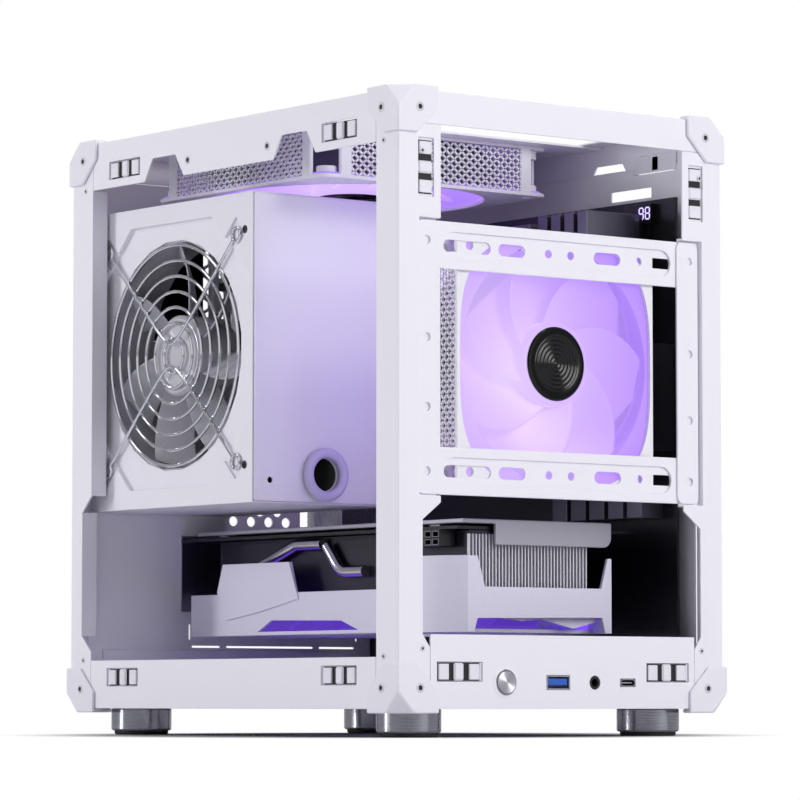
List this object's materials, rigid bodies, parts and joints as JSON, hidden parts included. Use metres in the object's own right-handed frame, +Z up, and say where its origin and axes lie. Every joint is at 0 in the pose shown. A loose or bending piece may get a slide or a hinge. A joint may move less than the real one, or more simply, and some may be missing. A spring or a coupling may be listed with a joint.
{
  "type": "computer case",
  "caption": "Small cube-shaped computer in a folded steel frame with its panels off: upright power supply, main board, lying graphics card and lattice fans, on turned feet.",
  "frame": {"origin": "on the ground, under the middle of the case's outer box", "axes": "+Z up, +Y from the front controls to the rear ports, +X from the open side to the main board"},
  "size_m": [0.201, 0.272, 0.298],
  "materials": {
    "white_steel": "fine white powder coat on folded sheet steel",
    "spring_steel": "bare spring steel",
    "foot_metal": "turned and brushed aluminium",
    "pad_rubber": "matte black rubber",
    "button_metal": "spun aluminium",
    "port_metal": "tinned steel shell",
    "black_plastic": "black moulded plastic",
    "circuit_board": "black solder mask",
    "fan_white": "white moulded plastic",
    "fan_blade": "milky translucent plastic",
    "hub_black": "polished black plastic",
    "psu_steel": "satin light grey coat",
    "psu_fan_grey": "dark grey moulded plastic",
    "wire_chrome": "bright chrome plate",
    "grommet_rubber": "soft pale rubber",
    "power_board": "brown circuit board with its parts",
    "memory_metal": "anodised dark spreader",
    "cooler_metal": "bare aluminium fins",
    "heat_sink": "grey anodised aluminium",
    "card_metal": "brushed grey aluminium",
    "bracket_steel": "nickel plated sheet",
    "fin_metal": "bare aluminium fins",
    "pipe_nickel": "nickel plated copper pipe",
    "shroud_white": "pale moulded plastic"
  },
  "bodies": {
    "case": {"audio_jack": "black_plastic", "chipset_heatsink": "heat_sink", "corner_caps_bottom": "white_steel", "corner_caps_top": "white_steel", "cpu_cooler": "cooler_metal", "feet": "foot_metal", "floor_pan": "white_steel", "foot_pads": "pad_rubber", "front_drive_bracket": "white_steel", "front_fan_frame": "fan_white", "front_io_board": "circuit_board", "front_io_plate": "white_steel", "gpu_backplate": "card_metal", "gpu_board": "circuit_board", "gpu_bracket": "bracket_steel", "gpu_fan_carrier": "black_plastic", "gpu_fin_stack": "fin_metal", "gpu_heat_pipes": "pipe_nickel", "gpu_power_socket": "black_plastic", "gpu_shroud": "shroud_white", "memory_modules": "memory_metal", "motherboard": "circuit_board", "motherboard_tray": "white_steel", "panel_clips": "spring_steel", "post_front_left": "white_steel", "post_front_right": "white_steel", "post_rear_left": "white_steel", "post_rear_right": "white_steel", "power_button_rim": "button_metal", "psu_board": "power_board", "psu_cable_grommet": "grommet_rubber", "psu_chassis": "psu_steel", "psu_cover": "psu_steel", "psu_fan_frame": "psu_fan_grey", "psu_fan_grille": "wire_chrome", "psu_inlet": "black_plastic", "rear_io_ports": "port_metal", "rear_panel": "white_steel", "top_fan_bracket": "white_steel", "top_fan_frame": "fan_white", "top_rail_front": "white_steel", "top_rail_left": "white_steel", "top_rail_rear": "white_steel", "top_rail_right": "white_steel", "usb_a_port": "port_metal", "usb_c_port": "port_metal", "vrm_heatsink": "heat_sink"},
    "front_fan": {"front_fan_rotor": "fan_blade", "front_fan_hub_cap": "hub_black"},
    "top_fan": {"top_fan_rotor": "fan_blade", "top_fan_hub_cap": "hub_black"},
    "psu_fan": {"psu_fan_rotor": "psu_fan_grey"},
    "gpu_fan_front": {"gpu_rotor_front": "black_plastic"},
    "gpu_fan_rear": {"gpu_rotor_rear": "black_plastic"},
    "power_key": {"power_button": "button_metal"},
    "rocker": {"psu_rocker_switch": "black_plastic"}
  },
  "joints": [
    {"name": "front_fan_spin", "type": "hinge", "parent": "case", "child": "front_fan", "pos_m": [0, -0.116, 0.1745], "axis": [0, 1, 0], "continuous": true},
    {"name": "top_fan_spin", "type": "hinge", "parent": "case", "child": "top_fan", "pos_m": [0, 0.0315, 0.28], "axis": [0, 0, 1], "continuous": true},
    {"name": "psu_fan_spin", "type": "hinge", "parent": "case", "child": "psu_fan", "pos_m": [-0.073, 0.063, 0.1866], "axis": [1, 0, 0], "continuous": true},
    {"name": "gpu_fan_front_spin", "type": "hinge", "parent": "case", "child": "gpu_fan_front", "pos_m": [0.0135, -0.036, 0.057], "axis": [0, 0, 1], "continuous": true},
    {"name": "gpu_fan_rear_spin", "type": "hinge", "parent": "case", "child": "gpu_fan_rear", "pos_m": [0.0135, 0.063, 0.057], "axis": [0, 0, 1], "continuous": true},
    {"name": "power_button_press", "type": "slide", "parent": "case", "child": "power_key", "axis": [0, 1, 0], "range_m": [0, 0.0008], "stiffness_N_per_m": 1500},
    {"name": "rocker_tilt", "type": "hinge", "parent": "case", "child": "rocker", "pos_m": [-0.0452, 0.1286, 0.23645], "axis": [1, 0, 0], "range_deg": [0, 12.5]}
  ]
}
